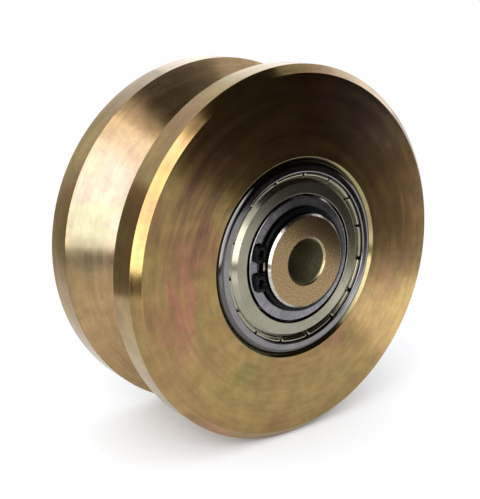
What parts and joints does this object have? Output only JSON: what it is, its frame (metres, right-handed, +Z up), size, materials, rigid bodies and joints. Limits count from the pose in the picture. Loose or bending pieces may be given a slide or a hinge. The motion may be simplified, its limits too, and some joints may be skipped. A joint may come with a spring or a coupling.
{
  "type": "v groove gate wheel",
  "caption": "Turned steel gate wheel with a V groove for a track, running on shielded ball bearings around a bolt sleeve.",
  "frame": {"origin": "centre of the wheel, on its spin axis, midway between its two faces", "axes": "+Y along the spin axis, away from the face in the picture, which looks along -Y; +Z up; the track runs along X under the wheel"},
  "size_m": [0.1, 0.05, 0.1],
  "materials": {
    "yellow_zinc_wheel": "turned, zinc plated and yellow passivated",
    "sleeve_steel": "yellow passivated, fine grained",
    "bearing_steel": "ground",
    "ball_steel": "polished",
    "cage_steel": "pressed, bright",
    "shield_steel": "satin",
    "black_spring_steel": "black phosphated"
  },
  "bodies": {
    "axle": {"axle_sleeve": "sleeve_steel", "front_inner_ring": "bearing_steel", "front_retaining_ring": "black_spring_steel", "rear_inner_ring": "bearing_steel", "rear_retaining_ring": "black_spring_steel"},
    "wheel": {"wheel_body": "yellow_zinc_wheel", "front_outer_ring": "bearing_steel", "front_outer_shield": "shield_steel", "front_inner_shield": "shield_steel", "rear_outer_ring": "bearing_steel", "rear_outer_shield": "shield_steel", "rear_inner_shield": "shield_steel"},
    "front_cage": {"front_cage_outer_half": "cage_steel", "front_cage_inner_half": "cage_steel", "front_cage_rivets": "cage_steel"},
    "front_ball_1": {"front_ball_1": "ball_steel"},
    "front_ball_2": {"front_ball_2": "ball_steel"},
    "front_ball_3": {"front_ball_3": "ball_steel"},
    "front_ball_4": {"front_ball_4": "ball_steel"},
    "front_ball_5": {"front_ball_5": "ball_steel"},
    "front_ball_6": {"front_ball_6": "ball_steel"},
    "front_ball_7": {"front_ball_7": "ball_steel"},
    "front_ball_8": {"front_ball_8": "ball_steel"},
    "front_ball_9": {"front_ball_9": "ball_steel"},
    "rear_cage": {"rear_cage_outer_half": "cage_steel", "rear_cage_inner_half": "cage_steel", "rear_cage_rivets": "cage_steel"},
    "rear_ball_1": {"rear_ball_1": "ball_steel"},
    "rear_ball_2": {"rear_ball_2": "ball_steel"},
    "rear_ball_3": {"rear_ball_3": "ball_steel"},
    "rear_ball_4": {"rear_ball_4": "ball_steel"},
    "rear_ball_5": {"rear_ball_5": "ball_steel"},
    "rear_ball_6": {"rear_ball_6": "ball_steel"},
    "rear_ball_7": {"rear_ball_7": "ball_steel"},
    "rear_ball_8": {"rear_ball_8": "ball_steel"},
    "rear_ball_9": {"rear_ball_9": "ball_steel"}
  },
  "joints": [
    {"name": "wheel_spin", "type": "hinge", "parent": "axle", "child": "wheel", "pos_m": [0, 0, 0], "axis": [0, 1, 0], "continuous": true},
    {"name": "front_cage_turn", "type": "hinge", "parent": "axle", "child": "front_cage", "pos_m": [0, -0.0147, 0], "axis": [0, 1, 0], "continuous": true},
    {"name": "front_ball_1_roll", "type": "hinge", "parent": "front_cage", "child": "front_ball_1", "pos_m": [0.01925, -0.0147, 0], "axis": [0, 1, 0], "continuous": true},
    {"name": "front_ball_2_roll", "type": "hinge", "parent": "front_cage", "child": "front_ball_2", "pos_m": [0.01475, -0.0147, 0.01237], "axis": [0, 1, 0], "continuous": true},
    {"name": "front_ball_3_roll", "type": "hinge", "parent": "front_cage", "child": "front_ball_3", "pos_m": [0.00334, -0.0147, 0.01896], "axis": [0, 1, 0], "continuous": true},
    {"name": "front_ball_4_roll", "type": "hinge", "parent": "front_cage", "child": "front_ball_4", "pos_m": [-0.00962, -0.0147, 0.01667], "axis": [0, 1, 0], "continuous": true},
    {"name": "front_ball_5_roll", "type": "hinge", "parent": "front_cage", "child": "front_ball_5", "pos_m": [-0.01809, -0.0147, 0.00658], "axis": [0, 1, 0], "continuous": true},
    {"name": "front_ball_6_roll", "type": "hinge", "parent": "front_cage", "child": "front_ball_6", "pos_m": [-0.01809, -0.0147, -0.00658], "axis": [0, 1, 0], "continuous": true},
    {"name": "front_ball_7_roll", "type": "hinge", "parent": "front_cage", "child": "front_ball_7", "pos_m": [-0.00962, -0.0147, -0.01667], "axis": [0, 1, 0], "continuous": true},
    {"name": "front_ball_8_roll", "type": "hinge", "parent": "front_cage", "child": "front_ball_8", "pos_m": [0.00334, -0.0147, -0.01896], "axis": [0, 1, 0], "continuous": true},
    {"name": "front_ball_9_roll", "type": "hinge", "parent": "front_cage", "child": "front_ball_9", "pos_m": [0.01475, -0.0147, -0.01237], "axis": [0, 1, 0], "continuous": true},
    {"name": "rear_cage_turn", "type": "hinge", "parent": "axle", "child": "rear_cage", "pos_m": [0, 0.0147, 0], "axis": [0, 1, 0], "continuous": true},
    {"name": "rear_ball_1_roll", "type": "hinge", "parent": "rear_cage", "child": "rear_ball_1", "pos_m": [0.01925, 0.0147, 0], "axis": [0, 1, 0], "continuous": true},
    {"name": "rear_ball_2_roll", "type": "hinge", "parent": "rear_cage", "child": "rear_ball_2", "pos_m": [0.01475, 0.0147, 0.01237], "axis": [0, 1, 0], "continuous": true},
    {"name": "rear_ball_3_roll", "type": "hinge", "parent": "rear_cage", "child": "rear_ball_3", "pos_m": [0.00334, 0.0147, 0.01896], "axis": [0, 1, 0], "continuous": true},
    {"name": "rear_ball_4_roll", "type": "hinge", "parent": "rear_cage", "child": "rear_ball_4", "pos_m": [-0.00962, 0.0147, 0.01667], "axis": [0, 1, 0], "continuous": true},
    {"name": "rear_ball_5_roll", "type": "hinge", "parent": "rear_cage", "child": "rear_ball_5", "pos_m": [-0.01809, 0.0147, 0.00658], "axis": [0, 1, 0], "continuous": true},
    {"name": "rear_ball_6_roll", "type": "hinge", "parent": "rear_cage", "child": "rear_ball_6", "pos_m": [-0.01809, 0.0147, -0.00658], "axis": [0, 1, 0], "continuous": true},
    {"name": "rear_ball_7_roll", "type": "hinge", "parent": "rear_cage", "child": "rear_ball_7", "pos_m": [-0.00962, 0.0147, -0.01667], "axis": [0, 1, 0], "continuous": true},
    {"name": "rear_ball_8_roll", "type": "hinge", "parent": "rear_cage", "child": "rear_ball_8", "pos_m": [0.00334, 0.0147, -0.01896], "axis": [0, 1, 0], "continuous": true},
    {"name": "rear_ball_9_roll", "type": "hinge", "parent": "rear_cage", "child": "rear_ball_9", "pos_m": [0.01475, 0.0147, -0.01237], "axis": [0, 1, 0], "continuous": true}
  ],
  "couplings": [
    {"joint": "front_cage_turn", "follows": "wheel_spin", "ratio": 0.6031},
    {"joint": "front_ball_1_roll", "follows": "wheel_spin", "ratio": 2.322},
    {"joint": "front_ball_2_roll", "follows": "wheel_spin", "ratio": 2.322},
    {"joint": "front_ball_3_roll", "follows": "wheel_spin", "ratio": 2.322},
    {"joint": "front_ball_4_roll", "follows": "wheel_spin", "ratio": 2.322},
    {"joint": "front_ball_5_roll", "follows": "wheel_spin", "ratio": 2.322},
    {"joint": "front_ball_6_roll", "follows": "wheel_spin", "ratio": 2.322},
    {"joint": "front_ball_7_roll", "follows": "wheel_spin", "ratio": 2.322},
    {"joint": "front_ball_8_roll", "follows": "wheel_spin", "ratio": 2.322},
    {"joint": "front_ball_9_roll", "follows": "wheel_spin", "ratio": 2.322},
    {"joint": "rear_cage_turn", "follows": "wheel_spin", "ratio": 0.6031},
    {"joint": "rear_ball_1_roll", "follows": "wheel_spin", "ratio": 2.322},
    {"joint": "rear_ball_2_roll", "follows": "wheel_spin", "ratio": 2.322},
    {"joint": "rear_ball_3_roll", "follows": "wheel_spin", "ratio": 2.322},
    {"joint": "rear_ball_4_roll", "follows": "wheel_spin", "ratio": 2.322},
    {"joint": "rear_ball_5_roll", "follows": "wheel_spin", "ratio": 2.322},
    {"joint": "rear_ball_6_roll", "follows": "wheel_spin", "ratio": 2.322},
    {"joint": "rear_ball_7_roll", "follows": "wheel_spin", "ratio": 2.322},
    {"joint": "rear_ball_8_roll", "follows": "wheel_spin", "ratio": 2.322},
    {"joint": "rear_ball_9_roll", "follows": "wheel_spin", "ratio": 2.322}
  ]
}
